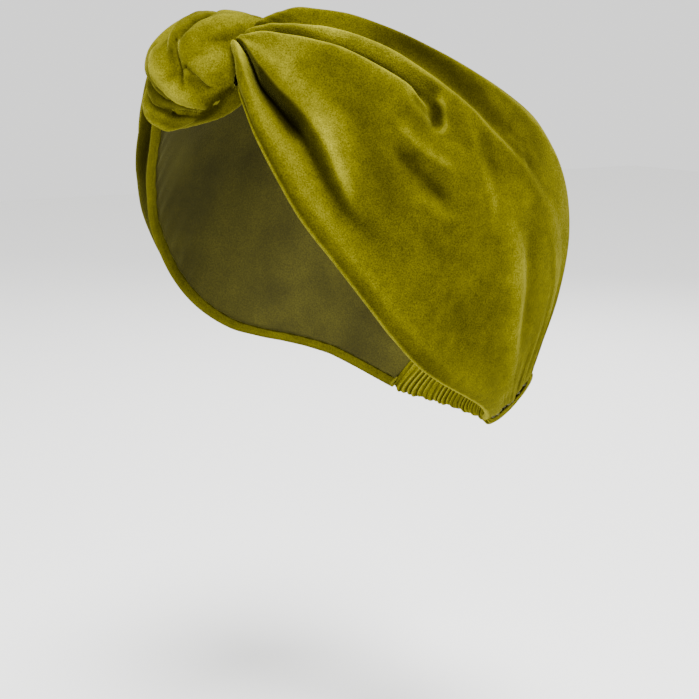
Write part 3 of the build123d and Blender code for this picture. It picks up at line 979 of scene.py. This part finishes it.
def thread_material(name, dark, light, scale):
    material, nodes, links, shader = new_material(name)
    place = nodes.new("ShaderNodeTexCoord").outputs["Object"]
    ply = noise(nodes, links, scale, 2.0, 0.6, place)
    links.new(ramp(nodes, links, ply, [(0.3, dark), (0.7, light)]), shader.inputs["Base Color"])
    rough = ramp(nodes, links, ply, [(0.3, (0.55,) * 3), (0.7, (0.75,) * 3)])
    links.new(rough, shader.inputs["Roughness"])
    links.new(bump(nodes, links, ply, 0.0002, 0.5), shader.inputs["Normal"])
    shader.inputs["Sheen Weight"].default_value = 0.2
    return material


# ---------------------------------------------------------------- assembly
def dress(piece, material):
    piece.data.materials.append(material)


def build_headband():
    velvet_cloth, jersey_cloth = velvet(), jersey()
    thread = thread_material("olive_thread", (0.05, 0.045, 0.003), (0.11, 0.10, 0.012), 2500.0)
    webbing = thread_material("olive_elastic", (0.06, 0.055, 0.01), (0.12, 0.11, 0.03), 1500.0)
    for side, sign in (("left", 1), ("right", -1)):
        body = side + "_side"
        panel, lining = side_panel(side), side_lining(side)
        casing, elastic = casing_half(side), elastic_half(side)
        seam_thread = back_seam(side)
        dress(panel, velvet_cloth)
        dress(lining, jersey_cloth)
        dress(casing, velvet_cloth)
        dress(elastic, webbing)
        dress(seam_thread, thread)
        for piece in (panel, lining):
            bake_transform(piece)
        for piece in (casing, elastic):
            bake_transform(piece)
        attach(seam_thread, body)
    wrap, core, tacking = knot_wrap(), knot_core(), knot_tacking()
    dress(wrap, velvet_cloth)
    dress(core, velvet_cloth)
    dress(tacking, thread)
    for piece in (wrap, core, tacking):
        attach(piece, "knot")


# ---------------------------------------------------------------- stage
CAMERA_PLACE = (0.533018, -0.343357, 0.085596)
CAMERA_TURN, CAMERA_RISE = 58.0, 12.0
CAMERA_LENS = 72.1
FLOOR_HEIGHT = -0.29


def build_camera():
    turn, rise = np.radians(CAMERA_TURN), np.radians(CAMERA_RISE)
    back = Vector((np.sin(turn) * np.cos(rise), -np.cos(turn) * np.cos(rise), np.sin(rise)))
    right = Vector((np.cos(turn), np.sin(turn), 0))
    up = back.cross(right)
    data = bpy.data.cameras.new("camera")
    data.lens, data.sensor_width = CAMERA_LENS, 36.0
    camera = bpy.data.objects.new("camera", data)
    bpy.context.scene.collection.objects.link(camera)
    camera.matrix_world = Matrix((right, up, back)).transposed().to_4x4()
    camera.location = CAMERA_PLACE
    bpy.context.scene.camera = camera


def area_light(name, place, aim, size, power, colour=(1, 1, 1)):
    data = bpy.data.lights.new(name, "AREA")
    data.shape, data.size, data.energy, data.color = "DISK", size, power, colour
    light = bpy.data.objects.new(name, data)
    bpy.context.scene.collection.objects.link(light)
    light.location = place
    light.rotation_euler = (Vector(aim) - Vector(place)).to_track_quat("-Z", "Y").to_euler()


def build_stage():
    points = [(-3, -3, FLOOR_HEIGHT), (3, -3, FLOOR_HEIGHT), (3, 3, FLOOR_HEIGHT), (-3, 3, FLOOR_HEIGHT)]
    mesh = bpy.data.meshes.new("floor")
    mesh.from_pydata(points, [], [(0, 1, 2, 3)])
    floor = bpy.data.objects.new("floor", mesh)
    bpy.context.scene.collection.objects.link(floor)
    material, _, _, shader = new_material("pale_floor")
    shader.inputs["Base Color"].default_value = (0.9, 0.9, 0.89, 1)
    shader.inputs["Roughness"].default_value = 0.9
    floor.data.materials.append(material)
    world = bpy.data.worlds.new("studio")
    world.use_nodes = True
    background = world.node_tree.nodes["Background"]
    background.inputs["Color"].default_value = (1.0, 1.0, 0.99, 1)
    background.inputs["Strength"].default_value = 1.35
    bpy.context.scene.world = world
    area_light("key", (0.55, -0.2, 1.2), (0, 0, 0), 0.6, 62.0)
    area_light("rim", (-0.9, 0.9, 0.7), (0, 0, 0), 0.8, 14.0)


build_headband()
build_stage()
build_camera()
